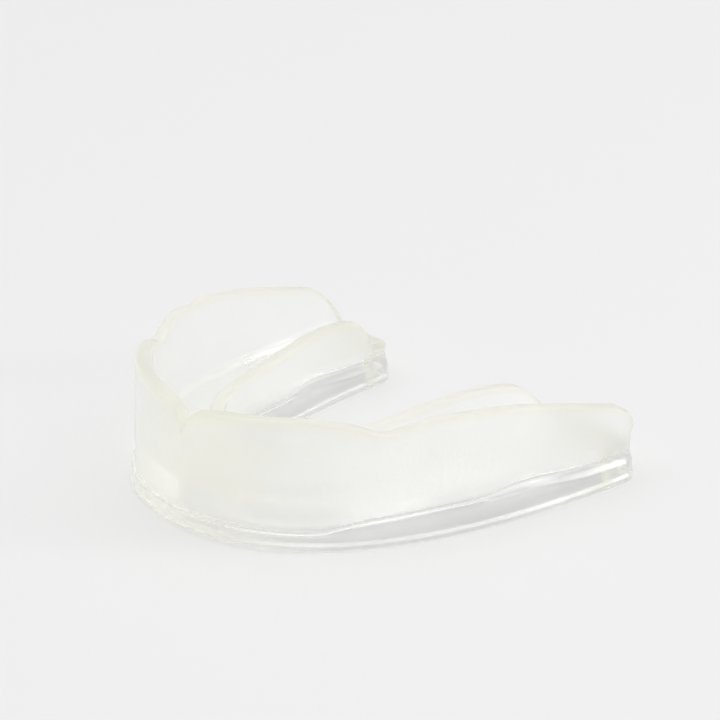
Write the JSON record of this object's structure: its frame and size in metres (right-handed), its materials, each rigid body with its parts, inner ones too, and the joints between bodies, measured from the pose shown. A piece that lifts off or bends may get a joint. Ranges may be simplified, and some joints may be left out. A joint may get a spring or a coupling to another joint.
{
  "type": "boil-and-bite mouthguard",
  "caption": "Clear U-shaped mouthguard: a bite pad with a tall outer wall, a lip notch and a lower tongue-side wall round a channel for the teeth.",
  "frame": {"origin": "middle of the arch's width and depth, on the flat biting face", "axes": "+X across the bite, -Y towards the lips, +Z from the biting face up into the tooth channel"},
  "size_m": [0.063, 0.055, 0.0176],
  "materials": {
    "clear_eva": "clear soft EVA, satin walls over a polished bite pad"
  },
  "bodies": {
    "root": {"guard": "clear_eva"}
  },
  "joints": []
}
